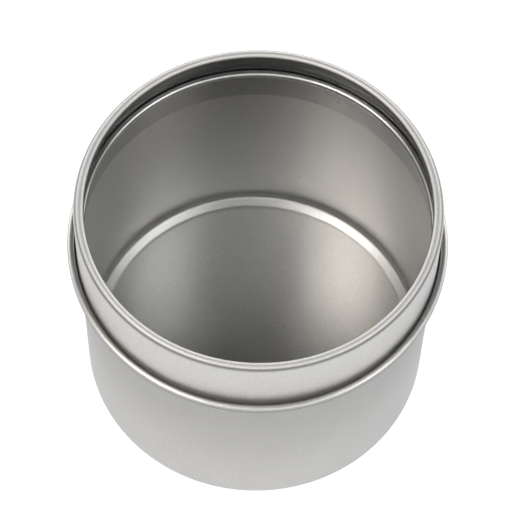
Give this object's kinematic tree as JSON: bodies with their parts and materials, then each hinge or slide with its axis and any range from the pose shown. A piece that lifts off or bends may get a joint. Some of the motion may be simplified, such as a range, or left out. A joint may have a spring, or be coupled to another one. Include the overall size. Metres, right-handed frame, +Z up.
{
  "type": "window lid tin",
  "caption": "Deep round tinplate storage tin with a slip-on lid: rolled rim, curled hem and a clear window that shows what is inside.",
  "frame": {"origin": "middle of the underside of the tin, on the plane that it stands on", "axes": "+Z up along the axis of the tin, the way the lid lifts; the part is round, so +X and +Y are free, and the pictured side faces -Y"},
  "size_m": [0.079, 0.079, 0.0627],
  "materials": {
    "tinplate": "satin tinplate, plain inside and out",
    "lid_tinplate": "satin tinplate, a little brighter on the bead and the hem",
    "clear_window": "clear, smooth, with a few specks of dust"
  },
  "bodies": {
    "tin": {"tin_body": "tinplate"},
    "lid": {"lid_ring": "lid_tinplate", "window": "clear_window"}
  },
  "joints": [
    {"name": "lid_lift", "type": "slide", "parent": "tin", "child": "lid", "axis": [0, 0, 1], "range_m": [0, 0.06]}
  ]
}
